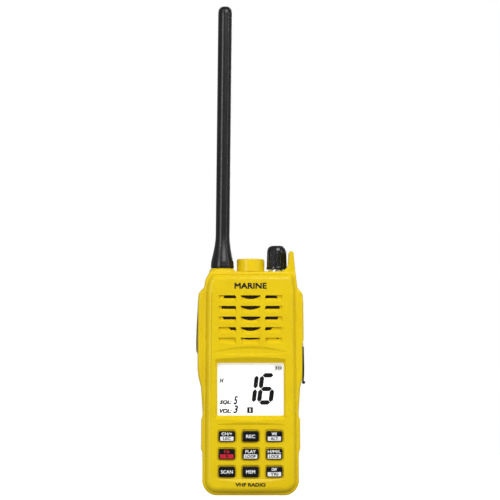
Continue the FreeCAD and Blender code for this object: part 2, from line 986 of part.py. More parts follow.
def case_hardware():
    piece("case_gasket", seal_band("gasket_solid", 1.0, 2.0, d.parting_y - 0.85, d.parting_y))
    screws = []
    for i, (x, z) in enumerate(screw_places()):
        head_y = d.plate_y - 2.1
        shank = cylinder(f"case_shank_{i}", 1.05, 9, (x, head_y - 9, z), "Y")
        head = cylinder(f"case_head_{i}", 2.2, 1.6, (x, head_y, z), "Y")
        drive = box(
            f"case_drive_{i}", (x - 1.5, head_y + 0.9, z - 0.25), (x + 1.5, head_y + 2, z + 0.25)
        )
        cross = box(
            f"case_cross_{i}", (x - 0.25, head_y + 0.9, z - 1.5), (x + 0.25, head_y + 2, z + 1.5)
        )
        screws.append(cut(f"case_screw_{i}", fuse(f"case_screw_blank_{i}", shank, head), drive, cross))
    piece("case_screws", group("case_screws_set", screws))
    piece(
        "battery_insert",
        tube("insert_solid", as_size(3.0), 2.05, d.plate_y - d.parting_y, (0, d.parting_y, d.screw_z), "Y"),
    )


def display():
    x, z = 0, d.window_z
    raised = block(
        "window_raised",
        "XZ",
        (x, z),
        (d.window_wide - 0.3, d.window_tall - 0.3),
        d.window_y,
        d.face_y + d.face_wall + 0.1,
        0.65,
        near=0.25,
    )
    flange = block(
        "window_flange",
        "XZ",
        (x, z),
        (d.window_wide + 4.2, d.window_tall + 4.0),
        d.face_y + d.face_wall,
        d.face_y + 4.3,
        1.5,
    )
    piece("lcd_window", fuse("window_solid", raised, flange))
    glass = (d.window_wide + 2.6, d.window_tall + 3.0)
    glass_y = d.face_y + 4.35
    layers = [
        block("lcd_glass", "XZ", (x, z), glass, glass_y, glass_y + 1.7, 0.3),
        block("lcd_backlight", "XZ", (x, z), glass, glass_y + 1.75, glass_y + 3.2, 0.3),
    ]
    piece("lcd_module", group("lcd_set", layers))
    frame_outer = block(
        "holder_outer",
        "XZ",
        (x, z),
        (d.window_wide + 5.0, d.window_tall + 5.6),
        glass_y,
        d.board_y,
        1.0,
    )
    frame_inner = block(
        "holder_inner",
        "XZ",
        (x, z),
        (d.window_wide + 2.8, d.window_tall + 3.2),
        glass_y - 1,
        glass_y + 3.25,
        0.3,
    )
    frame_back = block(
        "holder_back",
        "XZ",
        (x, z),
        (d.window_wide - 3.0, d.window_tall - 3.0),
        glass_y + 4.2,
        d.board_y + 1,
        1.0,
    )
    piece("lcd_holder", cut("holder_solid", frame_outer, frame_inner, frame_back))


KEY_NAMES = [
    ["key_scan", "key_memory", "key_dual_watch"],
    ["key_sixteen", "key_playback", "key_power"],
    ["key_channel", "key_record", "key_weather"],
]
KEY_FLANGE_Y = d.face_y + d.face_wall + 0.05
KEY_BACK_Y = d.face_y + 5.3


def keypad():
    plungers = []
    domes = []
    for row, column, x, z in key_places():
        top_y = d.key_top_y + (0.0 if column == 1 else 0.3)
        cap = block(
            f"cap_{row}{column}",
            "XZ",
            (x, z),
            (d.key_wide, d.key_tall),
            top_y,
            KEY_BACK_Y,
            0.95,
            near=0.55,
        )
        flange = block(
            f"key_flange_{row}{column}",
            "XZ",
            (x, z),
            (d.key_wide + 1.4, d.key_tall + 1.2),
            KEY_FLANGE_Y,
            KEY_FLANGE_Y + 0.9,
            0.9,
        )
        piece(KEY_NAMES[row][column], fuse(f"key_solid_{row}{column}", cap, flange))
        plungers.append(
            cylinder(f"plunger_{row}{column}", 1.6, 3.55, (x, KEY_BACK_Y + 1.2, z), "Y")
        )
        domes.append(
            cone(f"dome_{row}{column}", 2.2, 1.2, 0.3, (x, d.board_y, z), "Y")
        )
        domes[-1].Placement.Rotation = FreeCAD.Rotation(FreeCAD.Vector(1, 0, 0), 90)
    mat = block(
        "mat_plate",
        "XZ",
        (0, d.key_row_z + 0.05),
        (36.8, 29.3),
        KEY_BACK_Y + 0.45,
        KEY_BACK_Y + 1.25,
        2.0,
    )
    piece("keypad_mat", fuse("mat_solid", mat, *plungers))
    piece("key_domes", group("dome_set", domes))


COLUMN_X = 18.8
COLUMN_ZS = (40.3, 86.9)


def column_places():
    for z in COLUMN_ZS:
        for x in (-COLUMN_X, COLUMN_X):
            yield x, z


def board_outline(low, high):
    """A board with a notch for the sockets on its right side."""
    half = d.board_half
    return [
        (-half, as_size(low)),
        (half, as_size(low)),
        (half, as_size(64.6)),
        (as_size(16.2), as_size(64.6)),
        (as_size(16.2), as_size(83.0)),
        (half, as_size(83.0)),
        (half, as_size(high)),
        (-half, as_size(high)),
    ]


def boards():
    half = d.board_half
    screw_ys = (d.board_y - 1.3, d.board_y)
    board = box("main_blank", (-half, d.board_y, 11.0), (half, d.board_y + d.board_thick, d.board_top_z))
    drills = [
        cylinder(f"main_drill_{i}", 1.25, 6, (x, d.board_y - 1, z), "Y")
        for i, (x, z) in enumerate(column_places())
    ]
    chip_y = d.board_y + d.board_thick
    chips = [
        box("chip_processor", (-7, chip_y, 22), (7, chip_y + 1.2, 34)),
        box("chip_memory", (-16, chip_y, 24), (-10, chip_y + 1.0, 30)),
        box("chip_audio", (9.5, chip_y, 48), (14.5, chip_y + 1.3, 54)),
        box("chip_regulator", (-15, chip_y, 68), (-9, chip_y + 1.6, 73)),
        cylinder("chip_crystal", 1.7, 1.4, (12.5, chip_y, 28), "Y"),
    ]
    piece("main_board", group("main_set", [cut("main_solid", board, *drills), *chips]))
    piece(
        "rf_board",
        cut(
            "rf_solid",
            prism("rf_blank", "XZ", board_outline(20.0, d.board_top_z), d.rf_board_y, d.rf_board_y + 1.2),
            *[
                cylinder(f"rf_drill_{i}", 2.5, 6, (x, d.rf_board_y - 1, z), "Y")
                for i, (x, z) in enumerate(column_places())
            ],
        ),
    )
    can_y = d.rf_board_y - 5.4
    can = cut(
        "shield_solid",
        block("shield_outer", "XZ", (0, 58), (31, 44), can_y, d.rf_board_y, 0.8),
        block("shield_inner", "XZ", (0, 58), (30.2, 43.2), can_y + 0.4, d.rf_board_y + 1, 0.4),
    )
    piece("rf_shield", can)
    plate_y = d.rf_board_y + 1.25
    columns = [
        cylinder(f"column_{i}", 2.35, plate_y - chip_y + 0.5, (x, chip_y, z), "Y")
        for i, (x, z) in enumerate(column_places())
    ]
    bores = [
        cylinder(f"column_bore_{i}", 1.0, 20, (x, d.board_y, z), "Y")
        for i, (x, z) in enumerate(column_places())
    ]
    plate = prism("chassis_plate", "XZ", board_outline(18.0, d.board_top_z), plate_y, plate_y + 1.6)
    piece("chassis", cut("chassis_solid", fuse("chassis_blank", plate, *columns), *bores))
    screws = []
    for i, (x, z) in enumerate(column_places()):
        head = cylinder(f"board_head_{i}", 1.9, 1.3, (x, screw_ys[0], z), "Y")
        shank = cylinder(f"board_shank_{i}", 1.0, 8, (x, screw_ys[1], z), "Y")
        screws.append(fuse(f"board_screw_{i}", head, shank))
    piece("board_screws", group("board_screw_set", screws))


def loudspeaker():
    y = SPEAKER_Y
    radius = d.speaker_radius
    at = (0, 0, d.speaker_z)
    piece("speaker_membrane", cylinder("membrane_solid", radius, 0.2, (0, y, d.speaker_z), "Y"))
    basket = [
        (radius - 1.4, y + 0.25),
        (radius, y + 0.25),
        (radius, y + 1.8),
        (radius - 0.6, y + 1.8),
        (as_size(9.2), y + 6.2),
        (as_size(8.5), y + 6.2),
        (as_size(8.5), y + 5.7),
        (radius - 1.4, y + 1.5),
    ]
    piece("speaker_frame", turned("frame_solid", basket, at, "Y"))
    cone_profile = [
        (radius - 1.6, y + 0.9),
        (as_size(6.6), y + 3.6),
        (as_size(3.4), y + 2.3),
        (as_size(0), y + 1.7),
        (as_size(0), y + 2.1),
        (as_size(3.3), y + 2.7),
        (as_size(6.6), y + 4.05),
        (radius - 1.6, y + 1.3),
    ]
    piece("speaker_cone", turned("cone_solid", cone_profile, at, "Y"))
    piece("speaker_magnet", cylinder("magnet_solid", 8.3, 3.4, (0, y + 5.2, d.speaker_z), "Y"))
    mic = (15.2, 89.3)
    mic_y = d.face_y + d.face_wall
    capsule = cylinder("mic_solid", 3.0, 2.3, (mic[0], mic_y + 0.3, mic[1]), "Y")
    boot = cut(
        "boot_solid",
        cylinder("boot_outer", 3.9, 3.4, (mic[0], mic_y, mic[1]), "Y"),
        cylinder("boot_inner", 3.0, 2.3, (mic[0], mic_y + 0.3, mic[1]), "Y"),
        cylinder("boot_port", 0.6, 2.3, (mic[0], mic_y - 1.0, mic[1]), "Y"),
    )
    piece("microphone", group("mic_set", [capsule, boot]))


def sockets():
    for word, z, bore in (
        ("large", d.jack_large_z, d.jack_large_radius),
        ("small", d.jack_small_z, d.jack_small_radius),
    ):
        housing = box(
            f"jack_{word}_housing",
            (16.8, d.board_y + d.board_thick, z - 3.2),
            (25.2, COVER_Y + 3.2, z + 3.2),
        )
        nose = cylinder(f"jack_{word}_nose", JACK_NOSE, d.seat_x - 25, (25, COVER_Y, z), "X")
        hole = cylinder(f"jack_{word}_bore", bore, 13, (17.5, COVER_Y, z), "X")
        lead = cylinder(f"jack_{word}_lead", PLUG_RADIUS + 0.4, 3, (JACK_FACE, COVER_Y, z), "X")
        solid = cut(f"jack_{word}_solid", fuse(f"jack_{word}_blank", housing, nose), hole, lead)
        piece(f"audio_socket_{word}", solid)
    line = d.deck_line_y
    ceiling = d.deck_z - d.wall
    shank = cylinder("collar_shank", 4.9, 7, (0, line, d.deck_z - 6.9))
    collar = cylinder("collar", d.cap_radius - 1.55, 4.6, (0, line, d.deck_z))
    piece(
        "accessory_socket",
        cut(
            "accessory_solid",
            fuse("accessory_blank", shank, collar),
            cylinder("accessory_bore", 4.2, 20, (0, line, d.deck_z - 8)),
        ),
    )
    spots = [(0.0, 0.0)]
    spots += [(2.4 * math.cos(k * math.pi / 3), 2.4 * math.sin(k * math.pi / 3)) for k in range(6)]
    pins = [
        cylinder(f"accessory_pin_{i}", 0.4, 9, (x, line + y, d.deck_z - 6.5))
        for i, (x, y) in enumerate(spots)
    ]
    sleeves = [
        cylinder(f"pin_hole_{i}", 0.4, 9, (x, line + y, d.deck_z - 6.5))
        for i, (x, y) in enumerate(spots)
    ]
    insulator = cylinder("insulator_blank", 4.2, 6.5, (0, line, d.deck_z - 6))
    core = cut("insulator_solid", insulator, *sleeves)
    piece("accessory_pins", group("accessory_pin_set", [core, *pins]))
    socket = turned(
        "antenna_socket_solid",
        [
            (as_size(0.75), d.antenna_z - 12),
            (as_size(4.4), d.antenna_z - 12),
            (as_size(4.4), d.antenna_z - 0.95),
            (as_size(5.5), d.antenna_z - 0.95),
            (as_size(5.5), d.antenna_z - 0.1),
            (as_size(3.15), d.antenna_z - 0.1),
            (as_size(3.15), d.antenna_z + 4.8),
            (as_size(0.75), d.antenna_z + 4.8),
        ],
        (d.antenna_x, line, 0),
    )
    piece("antenna_socket", socket)
    nuts = [
        tube("accessory_nut", 6.7, 4.9, 2, (0, line, ceiling - 2)),
        tube("antenna_nut", 5.2, 4.4, 2.2, (d.antenna_x, line, ceiling - 2.2)),
        tube("encoder_nut", 4.9, 3.55, 0.8, (d.knob_x, line, d.deck_z)),
    ]
    piece("deck_nuts", group("nut_set", nuts))


def lean(thing):
    """Tips a turned piece of the antenna a little to the right about its own foot."""
    thing.Placement.Rotation = FreeCAD.Rotation(FreeCAD.Vector(0, 1, 0), number(d.antenna_lean))
    return bind(thing, **{"Placement.Rotation.Angle": d.antenna_lean})


def antenna():
    """The whip stands on its screw plug; their heights count from the top of the seat."""
    low = 0.15
    foot = d.whip_foot_radius
    whip = d.whip_radius
    tip = d.antenna_height
    at = (d.antenna_x, d.deck_line_y, d.antenna_z)
    piece(
        "antenna_seal",
        torus("seal_solid", 3.8, 0.4, (d.antenna_x, d.deck_line_y, d.antenna_z + 0.4)),
    )
    outline = [
        (as_size(5.25), as_size(low)),
        (foot - 0.15, as_size(low)),
        (foot, as_size(low + 1.2)),
        (foot - 0.2, as_size(4.0)),
        (foot - 0.65, as_size(6.1)),
        (foot - 1.4, as_size(9.4)),
        (foot - 2.0, as_size(12.6)),
        (whip + 0.15, as_size(16.3)),
        (whip, as_size(19.5)),
        (whip, tip - 3.6),
        (whip - 0.25, tip - 1.9),
        (whip - 0.9, tip - 0.8),
        (whip - 2.2, tip),
        (as_size(0), tip),
        (as_size(0), tip - 9),
        (as_size(1.2), tip - 9),
        (as_size(1.2), as_size(low + 8.3)),
        (as_size(5.25), as_size(low + 8.3)),
    ]
    piece("antenna_whip", lean(turned("whip_solid", outline, at)))
    rod = [
        (as_size(0), as_size(low + 8.3)),
        (as_size(1.2), as_size(low + 8.3)),
        (as_size(1.2), tip - 9),
        (as_size(0), tip - 9),
    ]
    piece("antenna_core", lean(turned("core_rod", rod, at)))
    plug = [
        (as_size(0), as_size(0.4)),
        (as_size(0.45), as_size(0.4)),
        (as_size(0.45), as_size(5.6)),
        (as_size(3.35), as_size(5.6)),
        (as_size(3.35), as_size(1.0)),
        (as_size(5.25), as_size(1.0)),
        (as_size(5.25), as_size(low + 8.3)),
        (as_size(0), as_size(low + 8.3)),
    ]
    piece("antenna_plug", lean(turned("plug_solid", plug, at)))


def knob():
    x, line = d.knob_x, d.deck_line_y
    ceiling = d.deck_z - d.wall
    body = box("encoder_block", (x - 5.5, line - 4.7, ceiling - 11.6), (x + 5.5, line + 4.7, ceiling - 6.2))
    bush = cylinder("encoder_bush", 3.55, 9.8, (x, line, ceiling - 6.2))
    solid = cut(
        "encoder_solid",
        fuse("encoder_blank", body, bush),
        cylinder("encoder_bore", 3.05, 30, (x, line, ceiling - 8.0)),
        cylinder("encoder_chamber", 4.2, 3.0, (x, line, ceiling - 10.6)),
    )
    piece("encoder_body", solid)
    piece("encoder_plunger", cylinder("plunger_disc", 3.9, 0.8, (x, line, ceiling - 9.6)))
    piece(
        "encoder_shaft",
        cylinder("shaft_solid", d.shaft_radius, d.knob_z + 8 - ceiling + 8.5, (x, line, ceiling - 8.5)),
    )
    low, top = d.knob_z, d.knob_z + d.knob_height
    wide, slim = d.knob_radius, d.knob_top_radius
    outline = [
        (d.shaft_radius, low),
        (wide, low),
        (wide, low + 1.0),
        (wide - 0.15, low + 1.4),
        (slim, top - 2.9),
        (slim - 0.45, top - 1.4),
        (slim - 1.3, top - 0.45),
        (slim - 2.6, top),
        (as_size(0), top),
        (as_size(0), low + 8),
        (d.shaft_radius, low + 8),
    ]
    turned_knob = turned(
        "knob_solid",
        outline,
        (x, line, 0),
        flutes=(20, 0.5, wide + 0.02, low + 1.6, top),
    )
    piece("volume_knob", turned_knob)


def cap():
    line = d.deck_line_y
    low, top = d.cap_z, d.cap_z + d.cap_height
    bore = d.cap_radius - 1.49
    piece("accessory_cap_seal", tube("cap_seal_solid", bore - 0.2, 4.4, 0.4, (0, line, low + 4.5)))
    outline = [
        (bore, low),
        (d.cap_radius, low),
        (d.cap_radius, top - 0.8),
        (d.cap_radius - 0.25, top - 0.25),
        (d.cap_radius - 0.8, top),
        (as_size(0), top + 0.25),
        (as_size(0), low + 4.9),
        (bore, low + 4.9),
    ]
    piece("accessory_cap", turned("cap_solid", outline, (0, line, 0)))


def talk_key():
    low, high = d.ptt_z - d.ptt_tall / 2, d.ptt_z + d.ptt_tall / 2
    pad = block(
        "talk_pad",
        "YZ",
        (PTT_Y, d.ptt_z),
        (d.ptt_deep, d.ptt_tall),
        d.ptt_x,
        -28.4,
        3.0,
    )
    bow = prism(
        "talk_bow",
        "XZ",
        [
            (as_size(-28.4), low - 1),
            (d.ptt_x + 0.9, low - 1),
            (d.ptt_x + 0.05, low + 1.6),
            (d.ptt_x, low + 7.0),
            (d.ptt_x + 0.25, low + 16.0),
            (d.ptt_x + 0.75, low + 25.0),
            (d.ptt_x + 1.0, high + 1),
            (as_size(-28.4), high + 1),
        ],
        PTT_Y - d.ptt_deep,
        PTT_Y + d.ptt_deep,
    )
    grips = [
        box(
            f"talk_grip_{i}",
            (d.ptt_x - 1, PTT_Y - 3.2, low + 6.5 + i * 3.0),
            (d.ptt_x + 0.5, PTT_Y + 3.2, low + 7.5 + i * 3.0),
        )
        for i in range(4)
    ]
    crown = cut("talk_crown", common("talk_form", pad, bow), *grips)
    flange = block(
        "talk_flange",
        "YZ",
        (PTT_Y, d.ptt_z),
        (d.ptt_deep + 2.4, d.ptt_tall + 0.6),
        -28.45,
        -27.6,
        3.6,
    )
    piece("ptt_button", fuse("talk_solid", crown, flange))
    switches = [box("talk_board", (-22.8, PTT_Y - 4, 91.6), (-22.0, PTT_Y + 4, 105.8))]
    for i, z in enumerate((94.6, 102.6)):
        case = box(f"talk_switch_{i}", (-24.6, PTT_Y - 2.2, z - 2.2), (-22.8, PTT_Y + 2.2, z + 2.2))
        nub = cylinder(f"talk_nub_{i}", 1.0, 2.0, (-26.6, PTT_Y, z), "X")
        switches.append(fuse(f"talk_switch_fused_{i}", case, nub))
    piece("ptt_switches", group("talk_switch_set", switches))


def jack_cover():
    x, low, top = d.seat_x + 0.1, d.cover_low_z, d.cover_top_z
    y0, y1 = COVER_Y - d.cover_deep / 2, COVER_Y + d.cover_deep / 2
    outer = d.cover_x
    knuckle_radius = 0.45
    flap = prism(
        "flap_plate",
        "XZ",
        [
            (x, low - 0.3),
            (outer - 0.35, low - 0.3),
            (outer - 0.05, low + 4.5),
            (outer, low + 8.5),
            (outer - 0.1, low + 13.0),
            (x + knuckle_radius * 2, top),
            (x, top),
        ],
        y0,
        y1,
    )
    knuckle = cylinder(
        "flap_knuckle", knuckle_radius, d.cover_deep, (x + knuckle_radius, y0, top), "Y"
    )
    bead = cylinder("flap_bead", 0.85, d.cover_deep - 2, (outer - 0.3, y0 + 1, low + 0.3), "Y")
    plugs = [
        cylinder(f"plug_{i}", PLUG_RADIUS, 0.9, (x - 0.8, COVER_Y, z), "X")
        for i, z in enumerate((d.jack_large_z, d.jack_small_z))
    ]
    piece("jack_cover", fuse("flap_solid", flap, knuckle, bead, *plugs))
    piece(
        "jack_cover_anchor",
        box("anchor_solid", (x - 0.1, y0, top + 0.75), (x + 0.5, y1, top + 2.4)),
    )


def battery():
    half, low, high = d.pack_half + 1.2, d.pack_low_z, d.pack_top_z
    middle = (low + high) / 2
    wall = d.pack_wall
    shell = block(
        "pack_shell",
        "XZ",
        (0, middle),
        (half * 2, high - low),
        d.pack_y,
        d.back_y,
        6.0,
        far=2.6,
    )
    mouth = block(
        "pack_mouth",
        "XZ",
        (0, middle),
        (half * 2 - wall * 2, high - low - wall * 2),
        d.pack_y - 1,
        d.back_y - wall,
        4.4,
    )
    bore_post = cylinder("bore_post", 6.6, 20, (0, d.pack_y - 1, d.screw_z), "Y")
    tray = cut(
        "pack_case_solid",
        shell,
        cut("pack_space", mouth, bore_post),
        cylinder("pack_bore", 2.3, 30, (0, d.pack_y - 2, d.screw_z), "Y"),
        cylinder("head_seat", 5.3, 5, (0, d.back_y - 1.5, d.screw_z), "Y"),
        *[
            box(f"grip_{i}", (-30 if i % 2 else half - 0.7, d.pack_y + 3.2, 40 + 4 * (i // 2)),
                (0.7 - half if i % 2 else 30, d.back_y - 3.0, 41.6 + 4 * (i // 2)))
            for i in range(10)
        ],
    )
    piece("battery_case", tray)
    pads = [
        box(f"pad_{i}", (x - 1.7, d.pack_y - 0.1, 78.6), (x + 1.7, d.pack_y + 0.7, 83.4))
        for i, x in enumerate((-9.5, -3.2, 3.2, 9.5))
    ]
    recesses = [
        box(f"pad_seat_{i}", (x - 1.7, d.pack_y - 1, 78.6), (x + 1.7, d.pack_y + 0.7, 83.4))
        for i, x in enumerate((-9.5, -3.2, 3.2, 9.5))
    ]
    lid = block(
        "pack_lid",
        "XZ",
        (0, middle),
        (half * 2 - wall * 2 - 0.1, high - low - wall * 2 - 0.1),
        d.pack_y + 0.05,
        d.pack_y + 1.25,
        4.3,
    )
    piece(
        "battery_cover",
        cut("pack_lid_solid", lid, cylinder("lid_hole", 6.65, 5, (0, d.pack_y - 1, d.screw_z), "Y"), *recesses),
    )
    piece("battery_terminals", group("pad_set", pads))
    cells = [
        block(
            f"cell_{i}",
            "XZ",
            (12.1 * side, 53.0),
            (23.6, 60.0),
            d.pack_y + 1.35,
            d.back_y - wall - 0.1,
            1.0,
            near=0.8,
            far=0.8,
        )
        for i, side in enumerate((-1, 1))
    ]
    piece("battery_cells", group("cell_set", cells))
    springs = [
        box(f"contact_{i}", (x - 1.4, d.plate_y - 1.6, 78.6), (x + 1.4, d.plate_y + 0.2, 83.4))
        for i, x in enumerate((-9.5, -3.2, 3.2, 9.5))
    ]
    piece("battery_contacts", group("contact_set", springs))


RING_Y = d.back_y + 1.5


def pack_screw():
    z = d.screw_z
    shank = cylinder("pack_shank", 2.0, d.back_y - 1.4 - d.parting_y - 0.6, (0, d.parting_y + 0.6, z), "Y")
    head = cylinder("pack_head", 4.95, 1.6, (0, d.back_y - 1.4, z), "Y")
    lug = block("pack_lug", "XY", (0, RING_Y - 0.2), (6.4, 3.0), z - 1.6, z + 1.6, 0.3)
    solid = cut(
        "pack_screw_solid",
        fuse("pack_screw_blank", shank, head, lug),
        cylinder("ring_bore", 0.66, 20, (-10, RING_Y, z), "X"),
    )
    piece("battery_screw", solid)
    bar = cylinder("ring_bar", 0.6, 12.4, (-6.2, RING_Y, z), "X")
    sides = [cylinder(f"ring_side_{i}", 0.6, 5.6, (x, RING_Y, z - 5.6)) for i, x in enumerate((-6.2, 6.2))]
    ends = []
    for i, x in enumerate((-6.2, 6.2)):
        end = doc.addObject("Part::Sphere", f"ring_end_{i}")
        end.Radius = 0.6
        ends.append(place(end, (x, RING_Y, z)))
    bow = cut(
        "ring_bow_half",
        torus("ring_bow", 6.2, 0.6, (0, RING_Y, z - 5.6), "Y"),
        box("ring_above", (-9, RING_Y - 3, z - 5.6), (9, RING_Y + 3, z + 9)),
    )
    piece("screw_ring", fuse("ring_solid", bar, *sides, *ends, bow))


def belt_clip():
    y, z = d.clip_pin_y, d.clip_pin_z
    half = d.clip_half
    plate = block("bracket_plate", "XZ", (0, z - 2), (half * 2 + 4.4, 22), d.back_y, d.back_y + 1.2, 1.5)
    lugs = [
        prism(
            f"bracket_lug_{i}",
            "YZ",
            [
                (d.back_y + 0.6, z - 4.0),
                (y - 1.0, z - 2.6),
                (y + 2.2, z - 2.2),
                (y + 2.2, z + 2.2),
                (y - 1.0, z + 2.6),
                (d.back_y + 0.6, z + 4.0),
            ],
            start,
            start + 2.0,
            {2: 1.8, 3: 1.8},
        )
        for i, start in enumerate((-half - 2.2, half + 0.2))
    ]
    bracket = cut(
        "bracket_solid",
        fuse("bracket_blank", plate, *lugs),
        cylinder("pin_bore", 0.8, 60, (-30, y, z), "X"),
    )
    piece("clip_bracket", bracket)
    piece("clip_pin", cylinder("pin_solid", 0.8, half * 2 + 4.4, (-half - 2.2, y, z), "X"))
    barrels = [
        cylinder(f"barrel_{i}", 2.1, half - 4.5, (start, y, z), "X")
        for i, start in enumerate((-half, as_size(4.5)))
    ]
    tongue = prism(
        "clip_tongue",
        "YZ",
        [
            (y + 0.7, z + 7.5),
            (y + 2.1, z + 7.5),
            (y + 2.1, d.clip_low_z + 2.0),
            (y + 1.2, d.clip_low_z),
            (y + 0.2, d.clip_low_z),
            (y - 2.4, d.clip_low_z + 2.0),
            (y - 2.4, d.clip_low_z + 3.6),
            (y - 0.4, d.clip_low_z + 5.4),
            (y + 0.7, d.clip_low_z + 8.0),
        ],
        -half,
        half,
    )
    room = box("spring_room", (-4.5, y - 3, z - 3.0), (4.5, y + 1.5, z + 3.0))
    taper = prism(
        "clip_taper",
        "XZ",
        [
            (-half + 3.0, d.clip_low_z - 1),
            (half - 3.0, d.clip_low_z - 1),
            (as_size(half), z - 12),
            (as_size(half), z + 9),
            (-half, z + 9),
            (-half, z - 12),
        ],
        y - 6,
        y + 6,
        {0: 3.0, 1: 3.0, 3: 3.0, 4: 3.0},
    )
    blank = common("clip_blank", fuse("clip_fused", tongue, *barrels), taper)
    solid = cut("clip_solid", blank, room, cylinder("clip_bore", 0.86, 60, (-30, y, z), "X"))
    piece("belt_clip", solid)
    winding = coil("winding", 1.2, 0.25, 0.6, 6.6, (-3.3, y, z), "X")
    leg_back = box("leg_back", (-2.95, d.back_y + 1.2, z + 0.3), (-2.4, y - 0.95, z + 0.75))
    leg_clip = box("leg_clip", (2.4, y + 0.1, z - 7.0), (2.95, y + 0.55, z - 1.0))
    piece("clip_spring", fuse("spring_solid", winding, leg_back, leg_clip))


case_form = case_envelope()
front_case(case_form)
rear_case(case_form)
case_hardware()
display()
keypad()
boards()
loudspeaker()
sockets()
antenna()
knob()
cap()
talk_key()
jack_cover()
battery()
pack_screw()
belt_clip()
doc.recompute()

# ---------------------------------------------------------------- checks and export

failed = [o.Name for o in doc.Objects if "Invalid" in o.State or "Error" in o.State]
if failed:
    raise RuntimeError(f"these objects failed to build: {failed}")
for solid in pieces:
    if solid.Shape.isNull() or not solid.Shape.isValid() or not solid.Shape.Solids:
        raise RuntimeError(f"{solid.Label} has no sound shape")
for joined in doc.findObjects("Part::MultiFuse"):
    if joined.Shape.Volume < max(member.Shape.Volume for member in joined.Shapes) - 0.01:
        raise RuntimeError(f"{joined.Name} lost some of what it joins")
os.makedirs("parts", exist_ok=True)
for solid in pieces:
    solid.Shape.exportStep(os.path.join("parts", solid.Label + ".step"))
print(f"wrote {len(pieces)} pieces")
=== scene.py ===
"""The looks of a handheld marine radio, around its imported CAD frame."""

import json
import math

import bpy
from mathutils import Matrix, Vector


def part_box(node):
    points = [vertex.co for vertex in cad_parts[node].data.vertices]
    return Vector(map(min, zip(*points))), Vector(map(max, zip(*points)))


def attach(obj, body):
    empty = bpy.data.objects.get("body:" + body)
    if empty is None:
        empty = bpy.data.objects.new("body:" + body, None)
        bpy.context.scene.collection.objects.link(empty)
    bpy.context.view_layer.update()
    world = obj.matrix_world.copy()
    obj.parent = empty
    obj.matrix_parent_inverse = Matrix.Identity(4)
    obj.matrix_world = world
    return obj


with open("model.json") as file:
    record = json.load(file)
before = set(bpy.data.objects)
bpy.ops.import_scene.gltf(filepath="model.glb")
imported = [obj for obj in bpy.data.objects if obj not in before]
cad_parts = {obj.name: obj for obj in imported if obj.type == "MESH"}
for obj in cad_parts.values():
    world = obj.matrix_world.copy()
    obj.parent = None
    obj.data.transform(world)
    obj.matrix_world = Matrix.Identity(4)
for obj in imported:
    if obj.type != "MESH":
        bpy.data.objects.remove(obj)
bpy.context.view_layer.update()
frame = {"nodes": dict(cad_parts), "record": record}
NODES = frame["nodes"]
MM = 0.001

# ---------------------------------------------------------------- materials


class Look:
    """One procedural material: a Principled shader with helpers for its texture nodes."""

    def __init__(self, name):
        self.material = bpy.data.materials.new(name)
        self.material.use_nodes = True
        self.tree = self.material.node_tree
        self.tree.nodes.clear()
        self.output = self.node("OutputMaterial")
        self.shader = self.node("BsdfPrincipled")
        self.join(self.shader, "BSDF", self.output, "Surface")
        self.place = self.node("TexCoord")
        self.bumps = []

    def node(self, kind, **settings):
        made = self.tree.nodes.new("ShaderNode" + kind)
        for name, value in settings.items():
            setattr(made, name, value)
        return made

    def join(self, source, out, target, into):
        self.tree.links.new(source.outputs[out], target.inputs[into])

    def set(self, **values):
        """Constant values straight on the shader's sockets; underscores stand for spaces."""
        for name, value in values.items():
            self.shader.inputs[name.replace("_", " ")].default_value = value
        return self

    def noise(self, size_mm, detail=3.0, roughness=0.5, stretch=(1, 1, 1)):
        """Fractal noise whose features are about size_mm across."""
        mapping = self.node("Mapping")
        mapping.inputs["Scale"].default_value = stretch
        self.join(self.place, "Object", mapping, "Vector")
        texture = self.node("TexNoise")
        texture.inputs["Scale"].default_value = 1 / (size_mm * MM)
        texture.inputs["Detail"].default_value = detail
        texture.inputs["Roughness"].default_value = roughness
        self.join(mapping, "Vector", texture, "Vector")
        return texture

    def spread(self, source, out, low, high, start=0.3, end=0.7):
        """Maps a texture's values onto a range."""
        mapped = self.node("MapRange")
        for name, value in (
            ("From Min", start),
            ("From Max", end),
            ("To Min", low),
            ("To Max", high),
        ):
            mapped.inputs[name].default_value = value
        self.join(source, out, mapped, "Value")
        return mapped

    def colours(self, source, out, first, second):
        """A colour that runs from first to second with a value."""
        mix = self.node("Mix", data_type="RGBA")
        mix.inputs["A"].default_value = (*first, 1)
        mix.inputs["B"].default_value = (*second, 1)
        self.tree.links.new(source.outputs[out], mix.inputs["Factor"])
        return mix

    def paint(self, first, second, size_mm=18.0, start=0.35, end=0.65):
        """Base colour with soft uneven patches."""
        patches = self.noise(size_mm, 4.0, 0.6)
        mix = self.colours(self.spread(patches, "Fac", 0, 1, start, end), "Result", first, second)
        self.tree.links.new(mix.outputs["Result"], self.shader.inputs["Base Color"])
        return mix

    def polish(self, low, high, size_mm=6.0):
        """Roughness that varies between two values, as handling leaves it."""
        smudge = self.noise(size_mm, 5.0, 0.65)
        self.join(self.spread(smudge, "Fac", low, high), "Result", self.shader, "Roughness")
        return self

    def bump(self, texture, out, depth_mm):
        """Adds a layer of relief of that depth."""
        layer = self.node("Bump")
        layer.inputs["Strength"].default_value = 1.0
        layer.inputs["Distance"].default_value = depth_mm * MM
        self.join(texture, out, layer, "Height")
        if self.bumps:
            self.join(self.bumps[-1], "Normal", layer, "Normal")
        self.bumps.append(layer)
        self.join(layer, "Normal", self.shader, "Normal")
        return self

    def grain(self, size_mm, depth_mm, detail=2.0):
        """Fine relief, as moulding leaves it."""
        return self.bump(self.noise(size_mm, detail), "Fac", depth_mm)


